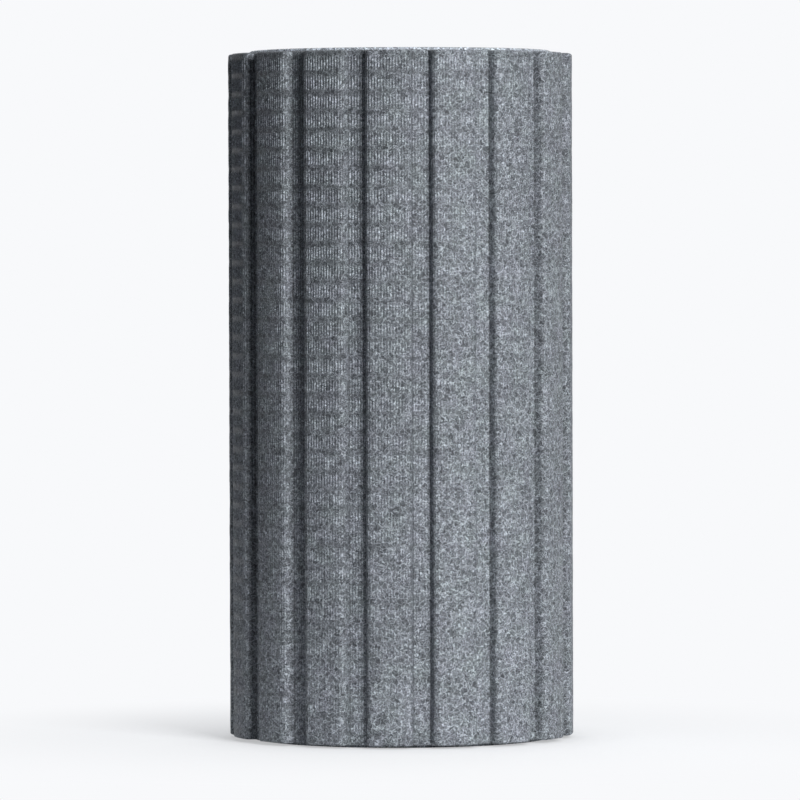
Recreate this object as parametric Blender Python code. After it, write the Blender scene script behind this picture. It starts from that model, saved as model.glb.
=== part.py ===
"""Grooved massage roller, moulded in one piece of bead foam.

Metres, +Z up. The roller stands on its end: its foot is at z = 0 and its axis is the Z axis.
"""

import math

import bmesh
import bpy
from mathutils import Vector

# Driving sizes
LENGTH = 0.300
CREST_RADIUS = 0.075
BORE_RADIUS = 0.0265
GROOVE_COUNT = 16
GROOVE_DEPTH = 0.005
GROOVE_FLOOR_WIDTH = 0.0075
WALL_DRAFT = math.radians(15.0)
SHOULDER_RADIUS = 0.003
FLOOR_CORNER_RADIUS = 0.0008
RIM_RADIUS = 0.001
END_FACE_RISE = 0.0013
END_FACE_MARGIN = 0.004
FIRST_GROOVE_TURN = math.radians(7.2)

# Flat stretches that each rounded stretch is made of
CREST_STEPS = 4
SHOULDER_STEPS = 4
FLOOR_CORNER_STEPS = 2
RIM_STEPS = 2
BORE_SIDES = 96

FRONT = math.radians(-90.0)
FOAM_COLOUR = (0.235, 0.255, 0.275, 1.0)
FOAM_ROUGHNESS = 0.85
SHARP_ANGLE = math.radians(40.0)


def clear_scene():
    for thing in list(bpy.data.objects):
        bpy.data.objects.remove(thing, do_unlink=True)


def arc(centre, radius, start, end, steps):
    """Points on an arc in the groove's own plane. Angles turn from straight out towards across."""
    turns = [start + (end - start) * i / steps for i in range(steps + 1)]
    return [centre + radius * Vector((math.sin(a), math.cos(a))) for a in turns]


def half_pitch(inset):
    """Half a groove and half a crest, from the groove's floor outwards, as (across, out) points.

    An inset moves every face that far into the foam, so a round end edge is a stack of insets.
    """
    crest = CREST_RADIUS - inset
    floor = CREST_RADIUS - GROOVE_DEPTH - inset
    corner = FLOOR_CORNER_RADIUS + inset
    shoulder = SHOULDER_RADIUS - inset
    lean = (1.0 - math.sin(WALL_DRAFT)) / math.cos(WALL_DRAFT)
    wall_foot = Vector((GROOVE_FLOOR_WIDTH / 2 + inset * lean, floor))
    up_wall = Vector((math.sin(WALL_DRAFT), math.cos(WALL_DRAFT)))
    into_foam = Vector((math.cos(WALL_DRAFT), -math.sin(WALL_DRAFT)))

    corner_centre = Vector((wall_foot.x - corner * lean, floor + corner))
    floor_corner = arc(corner_centre, corner, math.pi, math.pi / 2 + WALL_DRAFT, FLOOR_CORNER_STEPS)

    start = wall_foot + into_foam * shoulder
    along = start.dot(up_wall)
    rise = math.sqrt(along**2 - start.length_squared + (crest - shoulder) ** 2) - along
    shoulder_centre = start + up_wall * rise
    crest_start = math.atan2(shoulder_centre.x, shoulder_centre.y)
    rounded = arc(shoulder_centre, shoulder, WALL_DRAFT - math.pi / 2, crest_start, SHOULDER_STEPS)

    middle = math.pi / GROOVE_COUNT
    top = arc(Vector((0.0, 0.0)), crest, crest_start, middle, CREST_STEPS // 2)
    return floor_corner + rounded + top[1:]


def outline(inset):
    """The whole grooved outline, counter-clockwise seen from above."""
    half = half_pitch(inset)
    pitch = [Vector((-p.x, p.y)) for p in reversed(half[:-1])] + half
    points = []
    for i in range(GROOVE_COUNT):
        turn = FRONT + FIRST_GROOVE_TURN + math.tau * i / GROOVE_COUNT
        out = Vector((math.cos(turn), math.sin(turn)))
        across = Vector((-math.sin(turn), math.cos(turn)))
        points += [across * p.x + out * p.y for p in pitch]
    return points


def circle(radius):
    turns = [math.tau * i / BORE_SIDES for i in range(BORE_SIDES)]
    return [Vector((radius * math.cos(a), radius * math.sin(a))) for a in turns]


def quarter_turn():
    return [math.pi / 2 * i / RIM_STEPS for i in range(RIM_STEPS + 1)]


def rounded_ends(start):
    """Inset and height of each ring, up from the foot to the top, through two round edges that
    start that far in from both ends."""
    foot = []
    for a in quarter_turn():
        foot.append((RIM_RADIUS * (1.0 - math.sin(a)), start + RIM_RADIUS * (1.0 - math.cos(a))))
    return foot + [(inset, LENGTH - height) for inset, height in reversed(foot)]


def end_face():
    """Rings on the round side of a raised end face, from its foot to its flat: the radius of each,
    and how far in from the roller's end it lies."""
    radius = CREST_RADIUS - GROOVE_DEPTH - END_FACE_MARGIN
    rounding = END_FACE_RISE
    return [
        (radius - rounding * (1.0 - math.cos(a)), rounding * (1.0 - math.sin(a)))
        for a in quarter_turn()
    ]


def face_ring(radius):
    """A circle whose points line up with those of the grooved outline."""
    return [p.normalized() * radius for p in outline(RIM_RADIUS)]


def add_ring(bm, points, height):
    return [bm.verts.new((p.x, p.y, height)) for p in points]


def ring_edges(bm, ring):
    pairs = zip(ring, ring[1:] + ring[:1])
    return [bm.edges.get(pair) or bm.edges.new(pair) for pair in pairs]


def join_rings(bm, ring, following):
    """Faces from ring to ring. Rings with equally many points line up point by point, and others
    are level with each other, so the flat between them is filled."""
    if len(ring) != len(following):
        edges = ring_edges(bm, ring) + ring_edges(bm, following)
        bmesh.ops.triangle_fill(bm, use_beauty=True, edges=edges, normal=(0.0, 0.0, 1.0))
        return
    next_round = ring[1:] + ring[:1]
    following_next = following[1:] + following[:1]
    for corners in zip(ring, next_round, following_next, following):
        bm.faces.new(corners)


def roller_mesh():
    """Rings go up the outside, across the top, down the bore and back across the foot."""
    bm = bmesh.new()
    rings = [add_ring(bm, outline(inset), height) for inset, height in rounded_ends(END_FACE_RISE)]
    rings += [add_ring(bm, face_ring(radius), LENGTH - depth) for radius, depth in end_face()]
    for inset, height in reversed(rounded_ends(0.0)):
        rings.append(add_ring(bm, circle(BORE_RADIUS + inset), height))
    rings += [add_ring(bm, face_ring(radius), depth) for radius, depth in reversed(end_face())]
    for ring, following in zip(rings, rings[1:] + rings[:1]):
        join_rings(bm, ring, following)
    bmesh.ops.recalc_face_normals(bm, faces=bm.faces)
    mesh = bpy.data.meshes.new("roller_body")
    bm.to_mesh(mesh)
    bm.free()
    mesh.shade_smooth()
    mesh.set_sharp_from_angle(angle=SHARP_ANGLE)
    return mesh


def foam_material():
    material = bpy.data.materials.new("bead_foam")
    material.use_nodes = True
    shader = material.node_tree.nodes["Principled BSDF"]
    shader.inputs["Base Color"].default_value = FOAM_COLOUR
    shader.inputs["Roughness"].default_value = FOAM_ROUGHNESS
    shader.inputs["Metallic"].default_value = 0.0
    return material


def build_roller():
    body = bpy.data.objects.new("roller_body", roller_mesh())
    body.data.materials.append(foam_material())
    bpy.context.scene.collection.objects.link(body)


clear_scene()
build_roller()
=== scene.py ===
"""Looks of the grooved massage roller: its ribbed skin of bead foam, and the stage it stands on."""

import math
from typing import NamedTuple

import bpy
from bpy.props import FloatProperty, FloatVectorProperty, IntProperty, PointerProperty
from bpy.types import Operator, Panel, PropertyGroup
from mathutils import Matrix, Vector


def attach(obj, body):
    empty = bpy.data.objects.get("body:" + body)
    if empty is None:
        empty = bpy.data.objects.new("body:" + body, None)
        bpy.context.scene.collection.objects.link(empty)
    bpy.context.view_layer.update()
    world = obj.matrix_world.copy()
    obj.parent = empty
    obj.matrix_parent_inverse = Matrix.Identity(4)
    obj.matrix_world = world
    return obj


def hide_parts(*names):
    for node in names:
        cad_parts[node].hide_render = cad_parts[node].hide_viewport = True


bl_info = {
    "name": "Massage Roller",
    "version": (1, 0, 0),
    "blender": (4, 5, 0),
    "location": "View3D > Sidebar > Roller",
    "description": "Builds a grooved massage roller of bead foam and the stage it stands on",
    "category": "Object",
}

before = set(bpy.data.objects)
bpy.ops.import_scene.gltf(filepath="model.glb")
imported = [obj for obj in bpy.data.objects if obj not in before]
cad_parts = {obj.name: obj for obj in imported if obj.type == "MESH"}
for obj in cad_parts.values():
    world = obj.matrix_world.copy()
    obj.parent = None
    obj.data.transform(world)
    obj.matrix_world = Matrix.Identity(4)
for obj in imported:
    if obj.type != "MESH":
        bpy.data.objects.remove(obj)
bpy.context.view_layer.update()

NODE = "roller_body"
BODY = "root"


def length_and_radii(node):
    """Length of a CAD node along the roller's axis, and its smallest and largest radius."""
    corners = [v.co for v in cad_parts[node].data.vertices]
    heights = [c.z for c in corners]
    distances = [c.xy.length for c in corners]
    return max(heights) - min(heights), min(distances), max(distances)


LENGTH, BORE_RADIUS, CREST_RADIUS = length_and_radii(NODE)

# The roller's near side, as an angle round its axis
FRONT = math.radians(-90.0)

# Straight stretches that each arc of the groove's outline is drawn with
CREST_STEPS = 24
SHOULDER_STEPS = 16
CORNER_STEPS = 6

# Rows of faces round each rounded end edge and down the bore
RIM_ROWS = 4
BORE_ROWS = 32
# Rows across an end: the ledge inside the rim, the round side of the raised face and its flat
LEDGE_ROWS = 4
SIDE_ROWS = 5
FLAT_ROWS = 12
END_ROWS = LEDGE_ROWS + SIDE_ROWS + FLAT_ROWS

UV_MAP = "OFBake"
# Painted shade and highlight of the ribs: dark in the slits, light on the crowns and dark between
# the rows
RIB_PAINTED_TONE = "rib_painted_tone"
# Painted highlight: the rounded end edges are lightened in the skin's colour, where light from
# above catches them
PAINTED_EDGE_HIGHLIGHT = "painted_edge_highlight"
# Painted shade: the groove walls and their floor corners are darkened in the skin's colour, where
# shade falls in the grooves
PAINTED_GROOVE_SHADE = "painted_groove_shade"
# How squarely a groove's wall and a crest face away from the axis, where the painted shade on the
# walls is full and where it is gone
WALL_FACING = 0.35
CREST_FACING = 0.8
# Shares of a groove's depth where the painted shade of its floor corners begins and is full
CORNER_STARTS = 0.75
CORNER_FULL = 0.875
# How squarely the skin faces away from the axis where that painted shade is full and where it is
# gone
CORNER_TURNED = 0.96
CORNER_SQUARE = 0.98
# That painted shade, where a wall has 1
PAINTED_CORNER_SHADE = 1.6
# Painted shade of the skin between two rows of ribs, on the scale where a slit has -1 and a crown 1
GAP_PAINTED_SHADE = -0.5
# How squarely the skin faces the side with the fullest ribs and the fullest painted rib tone, where
# they are weakest and full
WEAK_FACING = 0.3
FULL_FACING = 0.9
# Side of the square that the skin, bore and ends are laid out on, and the gap between them
UV_SIDE = 0.62
UV_GAP = 0.005
MERGE_DISTANCE = 0.00002

# Soft noise runs from about LOW to HIGH of its full range
LOW = 0.3
HIGH = 0.7
# Added to the seed for the noise that ribs stray by
STRAY_SEED = 10.0
# Detail of the noise that swells and dents the whole skin
SWELL_DETAIL = 3.0

# The foam's patterns against the size of a bead: the noise that bends the beads and how far it
# does, the folds inside them, the lighter clouds and the tinted patches
BENDS_PER_BEAD = 1.3
BEND_REACH = 1.6
FOLDS_PER_BEAD = 2.1
BEADS_PER_CLOUD = 2.5
BEADS_PER_TINGE = 4.0
FOAM_DETAIL = 2.0
# Widths of a weld and a crease, as shares of a bead and a fold
WELD_WIDTH = 0.085
CREASE_WIDTH = 0.1
# Share of the light colour that the foam has all over, and what its patterns add to it
PLAIN_TONE = 0.17
WELD_TONE = 0.4
BEAD_TONE = 0.1
CREASE_TONE = 0.34
FOLD_TONE = 0.22
CLOUD_TONE = 0.06
# Power that the sum is raised to, so that dark parts stay dark
TONE_POWER = 2.0
# How deep a weld and a crease lie, as shares of the bead relief
WELD_DIP = 0.7
CREASE_DIP = 0.3

IMAGE_PIXELS = 800
HORIZON_PIXEL = 236.6
AXIS_PIXEL = 400.85
CAMERA_ROLL = 0.0028
SENSOR = 36.0


class RollerSizes(PropertyGroup):
    """Sizes of the moulding, as its CAD source has them."""

    length: FloatProperty(
        name="Length", description="From end to end", default=LENGTH, min=0.05, unit="LENGTH"
    )
    crest_radius: FloatProperty(
        name="Crest Radius", description="From the axis to the crests", default=CREST_RADIUS,
        min=0.02, unit="LENGTH",
    )
    bore_radius: FloatProperty(
        name="Bore Radius", description="Radius of the core bore", default=BORE_RADIUS,
        min=0.005, unit="LENGTH",
    )
    groove_count: IntProperty(
        name="Grooves", description="Lengthwise grooves round the roller", default=16, min=3
    )
    groove_depth: FloatProperty(
        name="Groove Depth", description="From the crests down to the groove floors",
        default=0.005, min=0.001, unit="LENGTH",
    )
    floor_width: FloatProperty(
        name="Floor Width", description="Width of a groove's floor, corners included",
        default=0.0075, min=0.002, unit="LENGTH",
    )
    wall_draft: FloatProperty(
        name="Wall Draft", description="Lean of the groove walls", default=math.radians(15.0),
        min=0.0, max=math.radians(45.0), unit="ROTATION",
    )
    shoulder_radius: FloatProperty(
        name="Shoulder Radius", description="Rounding between crest and wall", default=0.003,
        min=0.0015, unit="LENGTH",
    )
    corner_radius: FloatProperty(
        name="Corner Radius", description="Rounding between wall and floor", default=0.0008,
        min=0.0002, unit="LENGTH",
    )
    crown_radius: FloatProperty(
        name="Crown Radius", description="Radius that a crest is rounded with from wall to wall",
        default=0.058, min=0.015, unit="LENGTH",
    )
    rim_radius: FloatProperty(
        name="Rim Radius", description="Rounding of both end edges", default=0.001,
        min=0.0002, max=0.0014, unit="LENGTH",
    )
    end_rise: FloatProperty(
        name="End Rise", description="How far the round end face stands up from the rim",
        default=0.0013, min=0.0001, max=0.005, unit="LENGTH",
    )
    end_margin: FloatProperty(
        name="End Margin", description="From the groove floors in to the edge of the end face",
        default=0.004, min=0.0015, unit="LENGTH",
    )
    # Painted highlight on the rounded rims of the grooved wall, next to the end faces' edges
    rim_highlight: FloatProperty(
        name="Rim Wear", description="How worn the grooved rims are, next to the end faces' edges",
        default=0.35, min=0.0, max=1.0, subtype="FACTOR",
    )
    first_groove: FloatProperty(
        name="First Groove", description="Turn of the nearest groove from the near side",
        default=math.radians(7.2), unit="ROTATION",
    )


class RibSizes(PropertyGroup):
    """Sizes of the short fine ribs that the mould leaves in rows all round the skin."""

    ribs_per_groove: IntProperty(
        name="Ribs per Groove", description="Ribs along one groove and one crest", default=27, min=3
    )
    columns_per_rib: IntProperty(
        name="Columns per Rib", description="Faces across one rib and its gap", default=4, min=2
    )
    row_pitch: FloatProperty(
        name="Row Pitch", description="From one row of ribs to the next", default=0.0081,
        min=0.002, unit="LENGTH",
    )
    rings_per_row: IntProperty(
        name="Rings per Row", description="Faces along one rib and its gap", default=8, min=3
    )
    first_row: FloatProperty(
        name="First Row", description="Height of the middle of the lowest row", default=0.0096,
        unit="LENGTH",
    )
    rib_length: FloatProperty(
        name="Rib Length", description="Length of a rib at half its height", default=0.0052,
        unit="LENGTH",
    )
    rib_taper: FloatProperty(
        name="Rib Taper", description="Length over which a rib runs out", default=0.0014,
        min=0.0001, unit="LENGTH",
    )
    rib_height: FloatProperty(
        name="Rib Height", description="How far a full rib stands out of the skin",
        default=0.0002, unit="LENGTH",
    )
    slit_depth: FloatProperty(
        name="Slit Depth", description="How far the slit between two full ribs cuts into the skin",
        default=0.0004, unit="LENGTH",
    )
    gap_height: FloatProperty(
        name="Gap Height", description="How far the skin between two rows of ribs stands out",
        default=0.0001, unit="LENGTH",
    )
    gap_share: FloatProperty(
        name="Gap Share", description="Share of the rib height that is left between two rows",
        default=0.0, min=0.0, max=1.0, subtype="FACTOR",
    )
    foot_share: FloatProperty(
        name="Foot Share", description="Rib height at the foot, as a share of the full height",
        default=0.3, min=0.0, max=1.0, subtype="FACTOR",
    )
    patch_width: FloatProperty(
        name="Patch Width", description="Width of the patches where ribs are fuller or weaker",
        default=0.004, unit="LENGTH",
    )
    weakest: FloatProperty(
        name="Weakest", description="Share of the rib height that is left in the weakest patches",
        default=0.9, min=0.0, max=1.0, subtype="FACTOR",
    )
    full_side: FloatProperty(
        name="Full Side", description="Turn from the near side to where the ribs are fullest",
        default=math.radians(-50.0), unit="ROTATION",
    )
    far_share: FloatProperty(
        name="Far Share", description="Share of the rib height that is left away from that side",
        default=0.3, min=0.0, max=1.0, subtype="FACTOR",
    )
    wobble: FloatProperty(
        name="Wobble", description="How far a rib strays sideways", default=0.0003, unit="LENGTH"
    )
    uneven_width: FloatProperty(
        name="Uneven Width", description="Width of the swells and hollows of the whole skin",
        default=0.012, unit="LENGTH",
    )
    uneven_height: FloatProperty(
        name="Uneven Height", description="Height of the swells and hollows of the whole skin",
        default=0.0005, unit="LENGTH",
    )
    seed: IntProperty(name="Seed", description="Picks another moulding of the same kind", default=3)


class FoamLooks(PropertyGroup):
    """Colours and finish of the bead foam, and the shade and highlights painted into its colour."""

    dark: FloatVectorProperty(
        name="Dark Bead", description="Darkest parts of the beads", subtype="COLOR",
        default=(0.032, 0.035, 0.041), min=0.0, max=1.0,
    )
    light: FloatVectorProperty(
        name="Light Bead", description="Bead edges where they are welded", subtype="COLOR",
        default=(0.70, 0.752, 0.825), min=0.0, max=1.0,
    )
    violet: FloatVectorProperty(
        name="Violet Drift", description="Tint of the cooler patches", subtype="COLOR",
        default=(0.985, 0.97, 1.0), min=0.0, max=1.0,
    )
    green: FloatVectorProperty(
        name="Green Drift", description="Tint of the other patches", subtype="COLOR",
        default=(0.97, 1.0, 0.975), min=0.0, max=1.0,
    )
    bead_size: FloatProperty(
        name="Bead Size", description="Width of a bead", default=0.0026, min=0.0005, unit="LENGTH"
    )
    roughness: FloatProperty(
        name="Roughness", description="Roughness of the skin", default=0.55, min=0.0, max=1.0,
        subtype="FACTOR",
    )
    specular: FloatProperty(
        name="Specular", description="Strength of the skin's shine", default=0.2, min=0.0, max=1.0,
        subtype="FACTOR",
    )
    bead_relief: FloatProperty(
        name="Bead Relief", description="How far a bead bulges out of its edges", default=0.00012,
        unit="LENGTH",
    )
    # Painted shade in the slits between ribs and painted highlight on their crowns, where the ribs'
    # flanks miss or catch the light
    slit_shade: FloatProperty(
        name="Slit Shade", description="How much darker the slits between ribs are", default=1.0,
        min=0.0, max=1.0, subtype="FACTOR",
    )
    crown_highlight: FloatProperty(
        name="Crown Highlight", description="How much paler the crowns of the ribs are",
        default=0.45, min=0.0, max=1.0, subtype="FACTOR",
    )
    # Painted shade: how much darker the colour of the groove walls, and of the floor corners beyond
    # them, is made
    painted_groove_shade: FloatProperty(
        name="Groove Shade", description="How much darker the walls of the grooves are",
        default=0.25, min=0.0, max=1.0, subtype="FACTOR",
    )
    # Painted highlight: how much paler the rounded end edges are made, where light from above
    # catches them
    highlight_paleness: FloatProperty(
        name="Highlight Paleness", description="How much paler the worn edges of the ends are",
        default=0.9, min=0.0, max=2.0,
    )


class StageLooks(PropertyGroup):
    """Backdrop, lamps and camera."""

    backdrop: FloatVectorProperty(
        name="Backdrop", description="Colour of the background", subtype="COLOR",
        default=(0.939, 0.947, 0.965), min=0.0, max=1.0,
    )
    floor: FloatVectorProperty(
        name="Floor", description="Colour of the floor", subtype="COLOR",
        default=(0.939, 0.947, 0.965), min=0.0, max=1.0,
    )
    floor_gain: FloatProperty(
        name="Floor Gain", description="How much brighter the floor is shown than it is lit",
        default=1.17, min=0.1,
    )
    floor_bounce: FloatProperty(
        name="Floor Bounce",
        description="Share of its light that the floor near the roller returns",
        default=0.9, min=0.0, max=1.0, subtype="FACTOR",
    )
    bounce_reach: FloatProperty(
        name="Bounce Reach", description="Distance over which the returned light fades out",
        default=0.5, unit="LENGTH",
    )
    # Painted contact shade on the floor, from an ambient occlusion node
    contact_shade: FloatProperty(
        name="Contact Shade", description="How much darker the floor is where the roller hides it",
        default=0.35, min=0.0, max=1.0, subtype="FACTOR",
    )
    contact_reach: FloatProperty(
        name="Contact Reach", description="Distance within which the roller hides the floor",
        default=0.012, unit="LENGTH",
    )
    floor_size: FloatProperty(
        name="Floor Size", description="Width of the floor", default=40.0, unit="LENGTH"
    )
    shadow_share: FloatProperty(
        name="Shadow Share", description="How much of its own light and shadow the floor shows",
        default=0.6, min=0.0, max=1.0, subtype="FACTOR",
    )
    shadow_reach: FloatProperty(
        name="Shadow Reach", description="Distance over which the floor turns to plain backdrop",
        default=0.27, unit="LENGTH",
    )
    fill: FloatVectorProperty(
        name="Fill", description="Colour of the dim light from all round", subtype="COLOR",
        default=(0.62, 0.78, 1.0), min=0.0, max=1.0,
    )
    ambient: FloatProperty(
        name="Ambient", description="Strength of the light from all round", default=0.015, min=0.0
    )
    camera_distance: FloatProperty(
        name="Camera Distance", description="From the roller's axis to the lens", default=2.9475,
        min=0.5, unit="LENGTH",
    )
    camera_height: FloatProperty(
        name="Camera Height", description="Height of the lens above the floor", default=0.219,
        unit="LENGTH",
    )
    lens: FloatProperty(
        name="Lens", description="Focal length on a 36 mm sensor", default=303.25, min=10.0
    )


class RollerSettings(PropertyGroup):
    """Everything that can be set for the roller and its stage."""

    sizes: PointerProperty(type=RollerSizes)
    ribs: PointerProperty(type=RibSizes)
    foam: PointerProperty(type=FoamLooks)
    stage: PointerProperty(type=StageLooks)


class Lamp(NamedTuple):
    """A soft box that faces the roller. Azimuth is to the camera's right, and both angles are in
    degrees. Without shine it is left out of reflections."""

    name: str
    azimuth: float
    elevation: float
    distance: float
    width: float
    height: float
    power: float
    tint: tuple
    shine: bool = True


LAMPS = (
    Lamp("key_softbox", 27.0, 20.0, 1.3, 0.55, 0.35, 17.2, (0.99, 1.0, 1.0)),
    Lamp("fill_softbox", -40.0, 15.0, 1.5, 0.5, 0.5, 0.7, (0.75, 0.85, 1.0)),
    Lamp("top_softbox", 0.0, 90.0, 2.05, 0.3, 0.3, 9.0, (1.0, 1.0, 1.0)),
    Lamp("back_softbox", 180.0, 25.0, 1.5, 1.2, 0.8, 8.0, (0.95, 0.98, 1.0), False),
)


class NodeMaker:
    """Adds nodes to a tree. A value fed to a node is a plain value or another node's output."""

    def __init__(self, tree):
        self.tree = tree

    def add(self, kind, inputs=(), **settings):
        node = self.tree.nodes.new(kind)
        for name, value in settings.items():
            setattr(node, name, value)
        for key, value in dict(inputs).items():
            if isinstance(value, bpy.types.NodeSocket):
                self.tree.links.new(value, node.inputs[key])
            else:
                node.inputs[key].default_value = value
        return node.outputs

    def math(self, operation, *values, clamp=False):
        inputs = enumerate(values)
        return self.add("ShaderNodeMath", inputs, operation=operation, use_clamp=clamp)[0]

    def product(self, first, *others):
        for other in others:
            first = self.math("MULTIPLY", first, other)
        return first

    def vector(self, operation, *values):
        return self.add("ShaderNodeVectorMath", enumerate(values), operation=operation)[0]

    def scaled(self, vector, factor):
        inputs = {"Vector": vector, "Scale": factor}
        return self.add("ShaderNodeVectorMath", inputs, operation="SCALE")[0]

    def point(self, x, y, z):
        return self.add("ShaderNodeCombineXYZ", {"X": x, "Y": y, "Z": z})[0]

    def remap(self, value, low, high, new_low, new_high, interpolation="LINEAR"):
        """Carries a value from one range to another, and holds it inside the new one."""
        inputs = {
            "Value": value, "From Min": low, "From Max": high, "To Min": new_low, "To Max": new_high
        }
        return self.add("ShaderNodeMapRange", inputs, interpolation_type=interpolation)[0]

    def mix_vector(self, factor, a, b):
        return self.add("ShaderNodeMix", {0: factor, 4: a, 5: b}, data_type="VECTOR")[1]

    def mix_colour(self, factor, a, b, blend_type="MIX"):
        inputs = {0: factor, 6: a, 7: b}
        return self.add("ShaderNodeMix", inputs, data_type="RGBA", blend_type=blend_type)[2]


def arc(centre, radius, start, end, steps):
    """Points on an arc in the groove's own plane. Angles turn from straight out towards across."""
    turns = [start + (end - start) * i / steps for i in range(steps + 1)]
    return [centre + radius * Vector((math.sin(a), math.cos(a))) for a in turns]


def half_pitch(sizes):
    """Half a groove and half a crest, from the groove's middle on, as (across, out) points."""
    crest, draft = sizes.crest_radius, sizes.wall_draft
    floor = crest - sizes.groove_depth
    corner, shoulder = sizes.corner_radius, sizes.shoulder_radius
    lean = (1.0 - math.sin(draft)) / math.cos(draft)
    wall_foot = Vector((sizes.floor_width / 2, floor))
    up_wall = Vector((math.sin(draft), math.cos(draft)))
    into_foam = Vector((math.cos(draft), -math.sin(draft)))

    corner_centre = Vector((wall_foot.x - corner * lean, floor + corner))
    floor_corner = arc(corner_centre, corner, math.pi, math.pi / 2 + draft, CORNER_STEPS)

    middle = math.pi / sizes.groove_count
    crown = sizes.crown_radius
    crown_centre = (crest - crown) * Vector((math.sin(middle), math.cos(middle)))
    start = wall_foot + into_foam * shoulder - crown_centre
    along = start.dot(up_wall)
    rise = math.sqrt(along**2 - start.length_squared + (crown - shoulder) ** 2) - along
    shoulder_centre = start + up_wall * rise
    crest_start = math.atan2(shoulder_centre.x, shoulder_centre.y)
    shoulder_centre += crown_centre
    rounded = arc(shoulder_centre, shoulder, draft - math.pi / 2, crest_start, SHOULDER_STEPS)
    top = arc(crown_centre, crown, crest_start, middle, CREST_STEPS // 2)
    return [Vector((0.0, floor))] + floor_corner + rounded + top[1:]


def outline_points(sizes):
    """The grooved outline, counter-clockwise seen from above, from the middle of a groove."""
    half = half_pitch(sizes)
    mirrored = [Vector((-p.x, p.y)) for p in reversed(half[1:-1])]
    points = []
    for i in range(sizes.groove_count):
        for groove, side in ((i, half), (i + 1, mirrored)):
            turn = FRONT + sizes.first_groove + math.tau * groove / sizes.groove_count
            out = Vector((math.cos(turn), math.sin(turn), 0.0))
            across = Vector((-math.sin(turn), math.cos(turn), 0.0))
            points += [across * p.x + out * p.y for p in side]
    return points


def loop_mesh(name, points):
    """A closed loop of edges."""
    mesh = bpy.data.meshes.new(name)
    edges = [(i, (i + 1) % len(points)) for i in range(len(points))]
    mesh.from_pydata([tuple(p) for p in points], edges, [])
    return mesh


def loop_length(points):
    return sum((b - a).length for a, b in zip(points, points[1:] + points[:1]))


def sheet_of_faces(make, columns, rows):
    """A flat sheet that part of the skin is shaped from, as its mesh and its UV map, with how far
    round (0 to 1) and how many rows along each of its corners lies."""
    inputs = {
        "Size X": 1.0,
        "Size Y": 1.0,
        "Vertices X": make.math("ADD", columns, 1.0),
        "Vertices Y": make.math("ADD", rows, 1.0),
    }
    grid = make.add("GeometryNodeMeshGrid", inputs)
    place = make.add("ShaderNodeSeparateXYZ", {0: make.add("GeometryNodeInputPosition")[0]})
    around = make.math("ADD", place["X"], 0.5)
    row = make.math("MULTIPLY", make.math("ADD", place["Y"], 0.5), rows)
    return grid["Mesh"], grid["UV Map"], around, row


def rounded_wall(make, row, rows, length, radius):
    """Height and inset of a row on a wall whose two end edges are rounded."""
    to_go = make.math("SUBTRACT", rows, row)
    up_share = make.math("DIVIDE", row, RIM_ROWS, clamp=True)
    down_share = make.math("DIVIDE", to_go, RIM_ROWS, clamp=True)
    up_turn = make.math("MULTIPLY", up_share, math.pi / 2)
    down_turn = make.math("MULTIPLY", down_share, math.pi / 2)
    last_straight = make.math("SUBTRACT", rows, RIM_ROWS)
    straight = make.remap(row, RIM_ROWS, last_straight, 0.0, 1.0)
    length_between = make.math("MULTIPLY_ADD", radius, -2.0, length)
    below = make.math("MULTIPLY_ADD", straight, length_between, radius)
    lift = make.math("SUBTRACT", make.math("COSINE", down_turn), make.math("COSINE", up_turn))
    height = make.math("MULTIPLY_ADD", lift, radius, below)
    sines = make.math("ADD", make.math("SINE", up_turn), make.math("SINE", down_turn))
    inset = make.math("MULTIPLY", make.math("SUBTRACT", 2.0, sines), radius)
    return height, inset


def on_outline(make, outline, around):
    """A point on the outline, the way straight out of it and the way along it."""
    inputs = {"Curves": outline, "Factor": around}
    sample = make.add("GeometryNodeSampleCurve", inputs, mode="FACTOR", use_all_curves=False)
    out = make.vector("CROSS_PRODUCT", sample["Tangent"], (0.0, 0.0, 1.0))
    return sample["Position"], make.vector("NORMALIZE", out), sample["Tangent"]


def soft_noise(make, position, width, seed, detail=1.0):
    """Noise from 0 to 1 whose blobs have that width."""
    scale = make.math("DIVIDE", 1.0, width)
    inputs = {"Vector": position, "W": seed, "Scale": scale, "Detail": detail}
    return make.add("ShaderNodeTexNoise", inputs, noise_dimensions="4D")[0]


def wall_length(make, given):
    """Length of the grooved wall, between the two rims."""
    return make.math("MULTIPLY_ADD", given["End Rise"], -2.0, given["Length"])


def straight_length(make, given):
    """Length of the grooved wall without its two rounded edges."""
    return make.math("MULTIPLY_ADD", given["Rim Radius"], -2.0, wall_length(make, given))


def with_attribute(make, mesh, name, value):
    inputs = {"Geometry": mesh, "Name": name, "Value": value}
    settings = {"data_type": "FLOAT", "domain": "POINT"}
    return make.add("GeometryNodeStoreNamedAttribute", inputs, **settings)[0]


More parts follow.
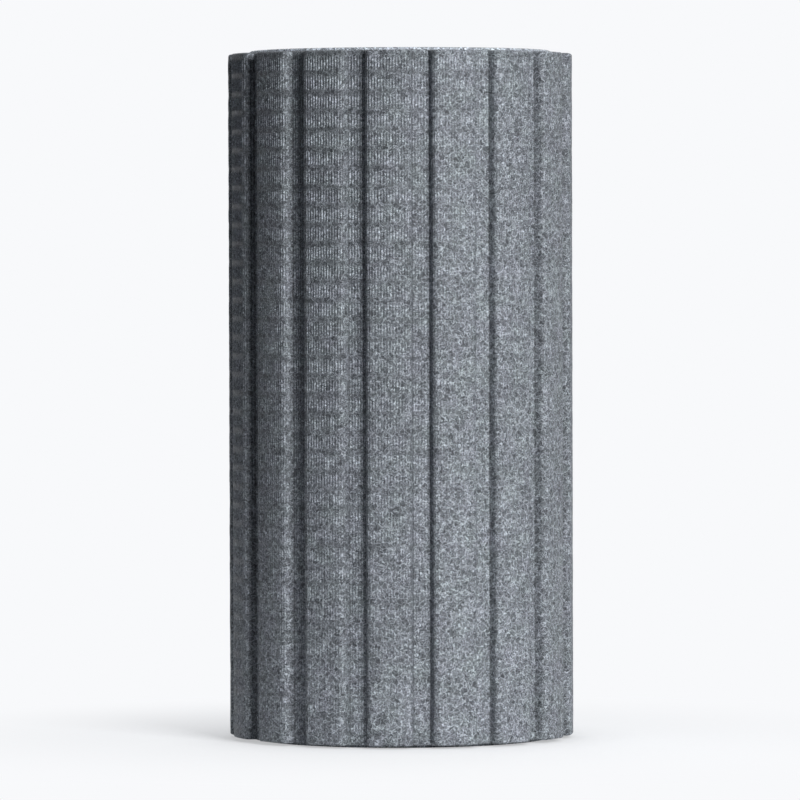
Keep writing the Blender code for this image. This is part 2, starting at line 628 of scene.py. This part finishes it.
def rib_share(make, given, height, rows, place, straight_out):
    """How full the ribs are at a point of the wall, from 0 to 1, and how much the point belongs
    to the gap between two rows."""
    straight_rows = make.math("SUBTRACT", rows, 2.0 * RIM_ROWS)
    ring = make.math("DIVIDE", straight_length(make, given), straight_rows)
    pitch = make.math("MULTIPLY", ring, given["Rings per Row"])
    above = make.math("SUBTRACT", height, given["First Row"])
    nearest = make.math("ROUND", make.math("DIVIDE", above, pitch))
    room = make.math("SUBTRACT", given["Length"], given["First Row"])
    last = make.math("FLOOR", make.math("DIVIDE", room, pitch))
    nearest = make.math("MAXIMUM", make.math("MINIMUM", nearest, last), 0.0)
    off_middle = make.math("SUBTRACT", above, make.math("MULTIPLY", nearest, pitch))
    off_middle = make.math("ABSOLUTE", off_middle)
    half_taper = make.math("MULTIPLY", given["Rib Taper"], 0.5)
    half_length = make.math("MULTIPLY", given["Rib Length"], 0.5)
    full_until = make.math("SUBTRACT", half_length, half_taper)
    gone_at = make.math("ADD", half_length, half_taper)
    in_row = make.remap(off_middle, full_until, gone_at, 1.0, given["Gap Share"])
    by_height = make.remap(height, 0.0, given["Length"], given["Foot Share"], 1.0)
    patches = soft_noise(make, place, given["Patch Width"], given["Seed"])
    patchy = make.remap(patches, LOW, HIGH, given["Weakest"], 1.0)
    # The ribs' relief, and the painted shade and highlight of their tone, are fullest on one side
    # of the roller and weaker away from it
    turn = make.math("ADD", given["Full Side"], FRONT)
    fullest = make.point(make.math("COSINE", turn), make.math("SINE", turn), 0.0)
    facing = {0: straight_out, 1: fullest}
    facing = make.add("ShaderNodeVectorMath", facing, operation="DOT_PRODUCT")["Value"]
    by_side = make.remap(facing, WEAK_FACING, FULL_FACING, given["Far Share"], 1.0)
    share = make.product(in_row, by_height, by_side, patchy)
    return share, make.product(make.math("SUBTRACT", 1.0, in_row), by_height, by_side)


def ribbed_wall(make, given, outline, columns, rows):
    """The grooved outside of the roller with its ribs, from the foot's edge to the top's."""
    mesh, uv, around, row = sheet_of_faces(make, columns, rows)
    height, inset = rounded_wall(make, row, rows, wall_length(make, given), given["Rim Radius"])
    height = make.math("ADD", height, given["End Rise"])
    place, out, along = on_outline(make, outline, around)
    place = make.vector("ADD", place, make.point(0.0, 0.0, height))
    flat_place = make.vector("MULTIPLY", place, (1.0, 1.0, 0.0))
    straight_out = make.vector("NORMALIZE", flat_place)
    share, gap = rib_share(make, given, height, rows, place, straight_out)
    ribs = make.math("MULTIPLY", given["Grooves"], given["Ribs per Groove"])
    turns = make.math("MULTIPLY_ADD", make.product(around, ribs), math.tau, math.pi)
    wave = make.math("COSINE", turns)
    slit = make.math("MULTIPLY", given["Slit Depth"], -1.0)
    full = make.remap(wave, -1.0, 1.0, slit, given["Rib Height"])
    bare = make.math("SUBTRACT", 1.0, share)
    relief = make.math("ADD", make.product(full, share), make.product(given["Gap Height"], bare))
    edge = make.math("DIVIDE", inset, given["Rim Radius"])
    relief = make.product(relief, make.math("SUBTRACT", 1.0, edge))
    relief = make.math("SUBTRACT", relief, inset)
    # Painted shade in the grooves: full on the walls, and stronger in the deep floor corners
    facing = {0: out, 1: straight_out}
    facing = make.add("ShaderNodeVectorMath", facing, operation="DOT_PRODUCT")["Value"]
    on_wall = make.remap(facing, WALL_FACING, CREST_FACING, 1.0, 0.0)
    radius = make.add("ShaderNodeVectorMath", {0: flat_place}, operation="LENGTH")["Value"]
    depth = make.math("SUBTRACT", given["Crest Radius"], radius)
    depth = make.math("DIVIDE", depth, given["Groove Depth"])
    deep = make.remap(depth, CORNER_STARTS, CORNER_FULL, 0.0, PAINTED_CORNER_SHADE)
    painted_corner = make.remap(facing, CORNER_TURNED, CORNER_SQUARE, deep, 0.0)
    shade = make.math("MAXIMUM", on_wall, painted_corner)
    stray_seed = make.math("ADD", given["Seed"], STRAY_SEED)
    stray = soft_noise(make, place, given["Patch Width"], stray_seed)
    stray = make.product(make.math("SUBTRACT", stray, 0.5), share, given["Wobble"])
    place = make.vector("ADD", place, make.scaled(out, relief))
    place = make.vector("ADD", place, make.scaled(along, stray))
    # Painted rib tone: shade in the slits and between the rows, highlight on the crowns, none on
    # the groove walls
    tone = make.math("MULTIPLY_ADD", gap, GAP_PAINTED_SHADE, make.product(wave, share))
    tone = make.product(tone, make.math("SUBTRACT", 1.0, on_wall))
    mesh = with_attribute(make, mesh, RIB_PAINTED_TONE, tone)
    mesh = with_attribute(make, mesh, PAINTED_GROOVE_SHADE, shade)
    # Painted highlight on the rounded rims, where light from above catches them
    mesh = with_attribute(make, mesh, PAINTED_EDGE_HIGHLIGHT, make.product(edge, given["Rim Wear"]))
    inputs = {"Geometry": mesh, "Position": place}
    return make.add("GeometryNodeSetPosition", inputs)[0], uv


def end_of_roller(make, given, outline, columns, upwards):
    """One end, from the grooved rim over the ledge and the raised round face to the bore's edge.
    The rows of the lower end run the other way, so that its faces point down."""
    mesh, _, around, row = sheet_of_faces(make, columns, END_ROWS)
    if not upwards:
        row = make.math("SUBTRACT", END_ROWS, row)
    place, out, _ = on_outline(make, outline, around)
    rim = make.vector("SUBTRACT", place, make.scaled(out, given["Rim Radius"]))
    straight_out = make.vector("NORMALIZE", place)

    ledge = make.remap(row, 0.0, LEDGE_ROWS, 0.0, 1.0)
    turn = make.remap(row, LEDGE_ROWS, LEDGE_ROWS + SIDE_ROWS, 0.0, math.pi / 2)
    flat = make.remap(row, LEDGE_ROWS + SIDE_ROWS, END_ROWS, 0.0, 1.0)
    face_radius = make.math("SUBTRACT", given["Crest Radius"], given["Groove Depth"])
    face_radius = make.math("SUBTRACT", face_radius, given["End Margin"])
    rounded_off = make.math("SUBTRACT", 1.0, make.math("COSINE", turn))
    rounded_off = make.math("MULTIPLY", rounded_off, given["End Rise"])
    side = make.scaled(straight_out, make.math("SUBTRACT", face_radius, rounded_off))
    bore_rim = make.math("ADD", given["Bore Radius"], given["Rim Radius"])
    place = make.mix_vector(ledge, rim, side)
    place = make.mix_vector(flat, place, make.scaled(straight_out, bore_rim))

    # Painted highlight on the round side of the raised end face
    highlit = make.math("SINE", make.math("MULTIPLY", turn, 2.0))
    mesh = with_attribute(make, mesh, PAINTED_EDGE_HIGHLIGHT, highlit)
    depth = make.math("SUBTRACT", 1.0, make.math("SINE", turn))
    depth = make.math("MULTIPLY", depth, given["End Rise"])
    height = make.math("SUBTRACT", given["Length"], depth) if upwards else depth
    place = make.vector("ADD", place, make.point(0.0, 0.0, height))
    inputs = {"Geometry": mesh, "Position": place}
    mesh = make.add("GeometryNodeSetPosition", inputs)[0]
    return mesh, make.add("GeometryNodeInputPosition")[0]


def bore_wall(make, given, outline, columns):
    """The core bore, from the top's edge down to the foot's."""
    mesh, uv, around, row = sheet_of_faces(make, columns, BORE_ROWS)
    rise, inset = rounded_wall(make, row, BORE_ROWS, given["Length"], given["Rim Radius"])
    place, _, _ = on_outline(make, outline, around)
    radius = make.math("ADD", given["Bore Radius"], inset)
    inner = make.scaled(make.vector("NORMALIZE", place), radius)
    height = make.math("SUBTRACT", given["Length"], rise)
    place = make.vector("ADD", inner, make.point(0.0, 0.0, height))
    inputs = {"Geometry": mesh, "Position": place}
    return make.add("GeometryNodeSetPosition", inputs)[0], uv


def laid_out(make, mesh, uv, corner, size):
    """Stores the UV map of one sheet, which goes to its own field of the bake square."""
    size = [side / UV_SIDE for side in size]
    corner = [side / UV_SIDE for side in corner]
    inputs = {0: uv, 1: (*size, 0.0), 2: (*corner, 0.0)}
    place = make.add("ShaderNodeVectorMath", inputs, operation="MULTIPLY_ADD")[0]
    inputs = {"Geometry": mesh, "Name": UV_MAP, "Value": place}
    settings = {"data_type": "FLOAT2", "domain": "CORNER"}
    return make.add("GeometryNodeStoreNamedAttribute", inputs, **settings)[0]


def unevenness(make, given):
    """The low swells and hollows of moulded foam, as a shift along the skin's own normal. The flat
    ends have none, so that the roller stands level."""
    place = make.add("GeometryNodeInputPosition")[0]
    normal = make.add("GeometryNodeInputNormal")[0]
    upright = make.add("ShaderNodeSeparateXYZ", {0: normal})["Z"]
    share = make.math("SUBTRACT", 1.0, make.math("ABSOLUTE", upright))
    swell = soft_noise(make, place, given["Uneven Width"], given["Seed"], SWELL_DETAIL)
    swell = make.product(make.math("SUBTRACT", swell, 0.5), given["Uneven Height"], share)
    return make.scaled(normal, swell)


TREE_INPUTS = (
    ("sizes", "length"),
    ("sizes", "crest_radius"),
    ("sizes", "bore_radius"),
    ("sizes", "groove_count"),
    ("sizes", "groove_depth"),
    ("sizes", "rim_radius"),
    ("sizes", "end_rise"),
    ("sizes", "end_margin"),
    ("sizes", "rim_highlight"),
    ("ribs", "ribs_per_groove"),
    ("ribs", "columns_per_rib"),
    ("ribs", "row_pitch"),
    ("ribs", "rings_per_row"),
    ("ribs", "first_row"),
    ("ribs", "rib_length"),
    ("ribs", "rib_taper"),
    ("ribs", "rib_height"),
    ("ribs", "slit_depth"),
    ("ribs", "gap_height"),
    ("ribs", "gap_share"),
    ("ribs", "foot_share"),
    ("ribs", "patch_width"),
    ("ribs", "weakest"),
    ("ribs", "full_side"),
    ("ribs", "far_share"),
    ("ribs", "wobble"),
    ("ribs", "uneven_width"),
    ("ribs", "uneven_height"),
    ("ribs", "seed"),
)
SOCKETS = {"INT": "NodeSocketInt", "FLOAT": "NodeSocketFloat"}


def skin_tree(settings, perimeter):
    """Geometry nodes that turn the grooved outline into the whole closed skin of the roller."""
    tree = bpy.data.node_groups.new("roller_skin", "GeometryNodeTree")
    tree.interface.new_socket("Outline", in_out="INPUT", socket_type="NodeSocketGeometry")
    for group, name in TREE_INPUTS:
        prop = getattr(settings, group).bl_rna.properties[name]
        tree.interface.new_socket(prop.name, in_out="INPUT", socket_type=SOCKETS[prop.type])
    tree.interface.new_socket("Material", in_out="INPUT", socket_type="NodeSocketMaterial")
    tree.interface.new_socket("Skin", in_out="OUTPUT", socket_type="NodeSocketGeometry")

    make = NodeMaker(tree)
    given = make.add("NodeGroupInput")
    outline = make.add("GeometryNodeMeshToCurve", {"Mesh": given["Outline"]})[0]
    ribs = make.math("MULTIPLY", given["Grooves"], given["Ribs per Groove"])
    columns = make.math("MULTIPLY", ribs, given["Columns per Rib"])
    rib_rows = make.math("DIVIDE", straight_length(make, given), given["Row Pitch"])
    rings = make.math("ROUND", make.math("MULTIPLY", rib_rows, given["Rings per Row"]))
    rows = make.math("ADD", rings, 2.0 * RIM_ROWS)

    length = settings.sizes.length
    crest = settings.sizes.crest_radius
    bore_girth = math.tau * settings.sizes.bore_radius
    upper = length + 2 * UV_GAP
    middle = upper + crest
    first_end = UV_GAP + bore_girth + UV_GAP + crest
    second_end = first_end + 2 * crest + UV_GAP

    wall, wall_uv = ribbed_wall(make, given, outline, columns, rows)
    wall = laid_out(make, wall, wall_uv, (UV_GAP, UV_GAP), (perimeter, length))
    top, top_uv = end_of_roller(make, given, outline, columns, True)
    top = laid_out(make, top, top_uv, (first_end, middle), (1.0, 1.0))
    bore, bore_uv = bore_wall(make, given, outline, columns)
    bore = laid_out(make, bore, bore_uv, (UV_GAP, upper), (bore_girth, length))
    foot, foot_uv = end_of_roller(make, given, outline, columns, False)
    foot = laid_out(make, foot, foot_uv, (second_end, middle), (1.0, 1.0))

    joined = tree.nodes.new("GeometryNodeJoinGeometry")
    for mesh in (foot, bore, top, wall):
        tree.links.new(mesh, joined.inputs[0])
    inputs = {"Geometry": joined.outputs[0], "Distance": MERGE_DISTANCE}
    closed = make.add("GeometryNodeMergeByDistance", inputs)[0]
    inputs = {"Geometry": closed, "Offset": unevenness(make, given)}
    skin = make.add("GeometryNodeSetPosition", inputs)[0]
    skin = make.add("GeometryNodeSetShadeSmooth", {"Geometry": skin, "Shade Smooth": True})[0]
    skin = make.add("GeometryNodeRealizeInstances", {0: skin})[0]
    skin = make.add("GeometryNodeSetMaterial", {"Geometry": skin, "Material": given["Material"]})[0]
    make.add("NodeGroupOutput", {"Skin": skin})
    return tree


def bead_foam(looks):
    """Grey melange bead foam: welded beads with light wavy edges and mottled, darker middles."""
    material = bpy.data.materials.new("bead_foam_skin")
    material.use_nodes = True
    shader = material.node_tree.nodes["Principled BSDF"]
    make = NodeMaker(material.node_tree)
    place = make.add("ShaderNodeTexCoord")["Object"]
    per_bead = 1.0 / looks.bead_size

    bends = {"Vector": place, "Scale": per_bead * BENDS_PER_BEAD, "Detail": FOAM_DETAIL}
    bend = make.add("ShaderNodeTexNoise", bends)[1]
    bend = make.vector("SUBTRACT", bend, (0.5, 0.5, 0.5))
    bent = make.vector("ADD", place, make.scaled(bend, looks.bead_size * BEND_REACH))

    beads = {"Vector": bent, "Scale": per_bead}
    bead = make.add("ShaderNodeTexVoronoi", beads)["Color"]
    shade = make.add("ShaderNodeSeparateXYZ", {0: bead})["X"]
    edge = make.add("ShaderNodeTexVoronoi", beads, feature="DISTANCE_TO_EDGE")["Distance"]
    weld = make.remap(edge, 0.0, WELD_WIDTH, 1.0, 0.0, "SMOOTHSTEP")
    folds = {"Vector": bent, "Scale": per_bead * FOLDS_PER_BEAD}
    fold = make.add("ShaderNodeTexVoronoi", folds, feature="DISTANCE_TO_EDGE")["Distance"]
    crease = make.remap(fold, 0.0, CREASE_WIDTH, 1.0, 0.0, "SMOOTHSTEP")
    fold_shade = make.add("ShaderNodeTexVoronoi", folds)["Color"]
    fold_shade = make.add("ShaderNodeSeparateXYZ", {0: fold_shade})["X"]
    clouds = {"Vector": place, "Scale": per_bead / BEADS_PER_CLOUD, "Detail": FOAM_DETAIL}
    cloud = make.add("ShaderNodeTexNoise", clouds)[0]
    cloud = make.remap(cloud, LOW, HIGH, 0.0, 1.0)

    tone = PLAIN_TONE
    patterns = (
        (weld, WELD_TONE), (shade, BEAD_TONE), (crease, CREASE_TONE), (fold_shade, FOLD_TONE),
        (cloud, CLOUD_TONE),
    )
    for pattern, weight in patterns:
        tone = make.math("MULTIPLY_ADD", pattern, weight, tone)
    tone = make.math("POWER", tone, TONE_POWER)
    colour = make.mix_colour(tone, (*looks.dark, 1.0), (*looks.light, 1.0))
    tinges = {"Vector": place, "Scale": per_bead / BEADS_PER_TINGE}
    tinge = make.remap(make.add("ShaderNodeTexNoise", tinges)[0], LOW, HIGH, 0.0, 1.0)
    tint = make.mix_colour(tinge, (*looks.violet, 1.0), (*looks.green, 1.0))
    colour = make.mix_colour(1.0, colour, tint, "MULTIPLY")
    # Painted shade in the slits and painted highlight on the crowns of the ribs
    rib = make.add("ShaderNodeAttribute", attribute_name=RIB_PAINTED_TONE)["Fac"]
    painted_slit_shade = make.remap(rib, -1.0, 0.0, 1.0 - looks.slit_shade, 1.0)
    painted_crown_highlight = make.remap(rib, 0.0, 1.0, 1.0, 1.0 + looks.crown_highlight)
    # Painted highlight on the rounded end edges
    highlit = make.add("ShaderNodeAttribute", attribute_name=PAINTED_EDGE_HIGHLIGHT)["Fac"]
    highlit = make.math("MULTIPLY_ADD", highlit, looks.highlight_paleness, 1.0)
    # Painted shade on the groove walls and in their floor corners
    painted_groove_darkening = make.add("ShaderNodeAttribute", attribute_name=PAINTED_GROOVE_SHADE)["Fac"]
    painted_groove_darkening = make.math("MULTIPLY_ADD", painted_groove_darkening, -looks.painted_groove_shade, 1.0)
    colour = make.scaled(colour, make.product(painted_slit_shade, painted_crown_highlight, highlit, painted_groove_darkening))

    weld_dip = make.math("MULTIPLY", weld, -WELD_DIP)
    bulge = make.math("ADD", weld_dip, make.math("MULTIPLY", crease, -CREASE_DIP))
    inputs = {"Strength": 1.0, "Distance": looks.bead_relief, "Height": bulge}
    bulged = make.add("ShaderNodeBump", inputs)[0]
    links = material.node_tree.links
    links.new(colour, shader.inputs["Base Color"])
    links.new(bulged, shader.inputs["Normal"])
    shader.inputs["Roughness"].default_value = looks.roughness
    shader.inputs["Specular IOR Level"].default_value = looks.specular
    return material


def seen_directly(make):
    """1 for rays that come from the camera, or by way of a reflection or through glass."""
    path = make.add("ShaderNodeLightPath")
    seen = make.math("MAXIMUM", path["Is Camera Ray"], path["Is Glossy Ray"])
    return make.math("MAXIMUM", seen, path["Is Transmission Ray"])


def floor_material(looks):
    """Pale floor that shows its own light and shadow near the roller and plain backdrop beyond."""
    material = bpy.data.materials.new("pale_floor")
    material.use_nodes = True
    tree = material.node_tree
    tree.nodes.clear()
    make = NodeMaker(tree)
    place = make.add("ShaderNodeTexCoord")["Object"]
    away = make.add("ShaderNodeVectorMath", {0: place}, operation="LENGTH")["Value"]
    near = make.remap(away, 0.0, looks.shadow_reach, looks.shadow_share, 0.0, "SMOOTHSTEP")
    seen = seen_directly(make)
    plain = make.math("MULTIPLY", make.math("SUBTRACT", 1.0, near), seen)
    bounce = make.remap(away, 0.0, looks.bounce_reach, looks.floor_bounce, 0.0, "SMOOTHSTEP")
    # Painted contact shade: an ambient occlusion node darkens the floor's colour where the roller
    # hides it
    open_share = make.add("ShaderNodeAmbientOcclusion", {"Distance": looks.contact_reach})["AO"]
    painted_contact_shade = make.remap(open_share, 0.0, 1.0, 1.0 - looks.contact_shade, 1.0)
    shown_floor = make.scaled([looks.floor_gain * share for share in looks.floor], painted_contact_shade)
    colour = make.mix_colour(seen, make.point(bounce, bounce, bounce), shown_floor)
    lit = make.add("ShaderNodeBsdfDiffuse", {"Color": colour})[0]
    backdrop = make.add("ShaderNodeEmission", {"Color": (*looks.backdrop, 1.0)})[0]
    shown = make.add("ShaderNodeMixShader", {0: plain, 1: lit, 2: backdrop})[0]
    clear = make.add("ShaderNodeBsdfTransparent")[0]
    below = make.add("ShaderNodeNewGeometry")["Backfacing"]
    shown = make.add("ShaderNodeMixShader", {0: below, 1: shown, 2: clear})[0]
    make.add("ShaderNodeOutputMaterial", {"Surface": shown})
    return material


def light_world(looks):
    """Dim light from all round, behind which the plain backdrop is seen."""
    world = bpy.data.worlds.new("studio")
    world.use_nodes = True
    tree = world.node_tree
    tree.nodes.clear()
    make = NodeMaker(tree)
    dim = {"Color": (*looks.fill, 1.0), "Strength": looks.ambient}
    dim = make.add("ShaderNodeBackground", dim)[0]
    backdrop = make.add("ShaderNodeBackground", {"Color": (*looks.backdrop, 1.0)})[0]
    shown = make.add("ShaderNodeMixShader", {0: seen_directly(make), 1: dim, 2: backdrop})[0]
    make.add("ShaderNodeOutputWorld", {"Surface": shown})
    bpy.context.scene.world = world


def add_floor(looks):
    half = looks.floor_size / 2
    corners = [(-half, -half, 0.0), (half, -half, 0.0), (half, half, 0.0), (-half, half, 0.0)]
    mesh = bpy.data.meshes.new("studio_floor")
    mesh.from_pydata(corners, [], [(0, 1, 2, 3)])
    mesh.materials.append(floor_material(looks))
    floor = bpy.data.objects.new("studio_floor", mesh)
    bpy.context.scene.collection.objects.link(floor)


def add_lamp(lamp, target):
    data = bpy.data.lights.new(lamp.name, "AREA")
    data.shape = "RECTANGLE"
    data.size = lamp.width
    data.size_y = lamp.height
    data.energy = lamp.power
    data.color = lamp.tint
    azimuth, elevation = math.radians(lamp.azimuth), math.radians(lamp.elevation)
    level = Vector((math.sin(azimuth), -math.cos(azimuth), 0.0))
    away = level * math.cos(elevation) + Vector((0.0, 0.0, math.sin(elevation)))
    placed = bpy.data.objects.new(lamp.name, data)
    placed.location = target + away * lamp.distance
    placed.rotation_euler = away.to_track_quat("Z", "Y").to_euler()
    placed.visible_glossy = lamp.shine
    bpy.context.scene.collection.objects.link(placed)


def add_camera(looks):
    """The camera looks along +Y. Its pitch, yaw and roll put horizon and axis where the photo has
    them."""
    camera = bpy.data.cameras.new("camera")
    camera.sensor_width = SENSOR
    camera.lens = looks.lens
    focal_pixels = looks.lens / SENSOR * IMAGE_PIXELS
    pitch = math.atan((IMAGE_PIXELS / 2 - HORIZON_PIXEL) / focal_pixels)
    yaw = math.atan((AXIS_PIXEL - IMAGE_PIXELS / 2) / focal_pixels)
    turn = (
        Matrix.Rotation(yaw, 4, "Z")
        @ Matrix.Rotation(math.pi / 2 - pitch, 4, "X")
        @ Matrix.Rotation(-CAMERA_ROLL, 4, "Z")
    )
    spot = Matrix.Translation((0.0, -looks.camera_distance, looks.camera_height))
    placed = bpy.data.objects.new("camera", camera)
    placed.matrix_world = spot @ turn
    bpy.context.scene.collection.objects.link(placed)
    bpy.context.scene.camera = placed


class ROLLER_OT_body(Operator):
    """Build the ribbed and grooved roller of bead foam"""

    bl_idname = "roller.body"
    bl_label = "Foam Roller"

    def execute(self, context):
        settings = context.scene.massage_roller
        points = outline_points(settings.sizes)
        body = bpy.data.objects.new("foam_roller", loop_mesh("foam_roller", points))
        context.scene.collection.objects.link(body)
        tree = skin_tree(settings, loop_length(points))
        modifier = body.modifiers.new("skin", "NODES")
        modifier.node_group = tree
        values = {"Material": bead_foam(settings.foam)}
        for group, name in TREE_INPUTS:
            owner = getattr(settings, group)
            values[owner.bl_rna.properties[name].name] = getattr(owner, name)
        for item in tree.interface.items_tree:
            if item.name in values:
                modifier[item.identifier] = values[item.name]
        graph = context.evaluated_depsgraph_get()
        mesh = bpy.data.meshes.new_from_object(body.evaluated_get(graph), depsgraph=graph)
        if not mesh.polygons:
            raise RuntimeError("the skin has no faces")
        body.modifiers.remove(modifier)
        body.data = mesh
        while mesh.materials[0] is None:
            mesh.materials.pop(index=0)
        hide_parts(NODE)
        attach(body, BODY)
        return {"FINISHED"}


class ROLLER_OT_stage(Operator):
    """Set up the floor, backdrop, lamps and camera"""

    bl_idname = "roller.stage"
    bl_label = "Stage"

    def execute(self, context):
        settings = context.scene.massage_roller
        add_floor(settings.stage)
        light_world(settings.stage)
        target = Vector((0.0, 0.0, settings.sizes.length / 2))
        for lamp in LAMPS:
            add_lamp(lamp, target)
        add_camera(settings.stage)
        context.scene.view_settings.view_transform = "Standard"
        return {"FINISHED"}


class ROLLER_PT_panel(Panel):
    """Lists the roller's settings and the steps that build it"""

    bl_idname = "ROLLER_PT_panel"
    bl_label = "Massage Roller"
    bl_space_type = "VIEW_3D"
    bl_region_type = "UI"
    bl_category = "Roller"

    def draw(self, context):
        settings = context.scene.massage_roller
        for group in ("sizes", "ribs", "foam", "stage"):
            box = self.layout.box()
            box.label(text=group.title())
            owner = getattr(settings, group)
            for name in owner.bl_rna.properties.keys():
                if name not in {"rna_type", "name"}:
                    box.prop(owner, name)
        for operator in OPERATORS:
            self.layout.operator(operator.bl_idname)


OPERATORS = (ROLLER_OT_stage, ROLLER_OT_body)
CLASSES = (
    RollerSizes, RibSizes, FoamLooks, StageLooks, RollerSettings, *OPERATORS, ROLLER_PT_panel
)


def register():
    for each in CLASSES:
        bpy.utils.register_class(each)
    bpy.types.Scene.massage_roller = PointerProperty(type=RollerSettings)


def unregister():
    del bpy.types.Scene.massage_roller
    for each in reversed(CLASSES):
        bpy.utils.unregister_class(each)


def main():
    register()
    bpy.ops.roller.stage()
    bpy.ops.roller.body()


if __name__ == "__main__":
    main()
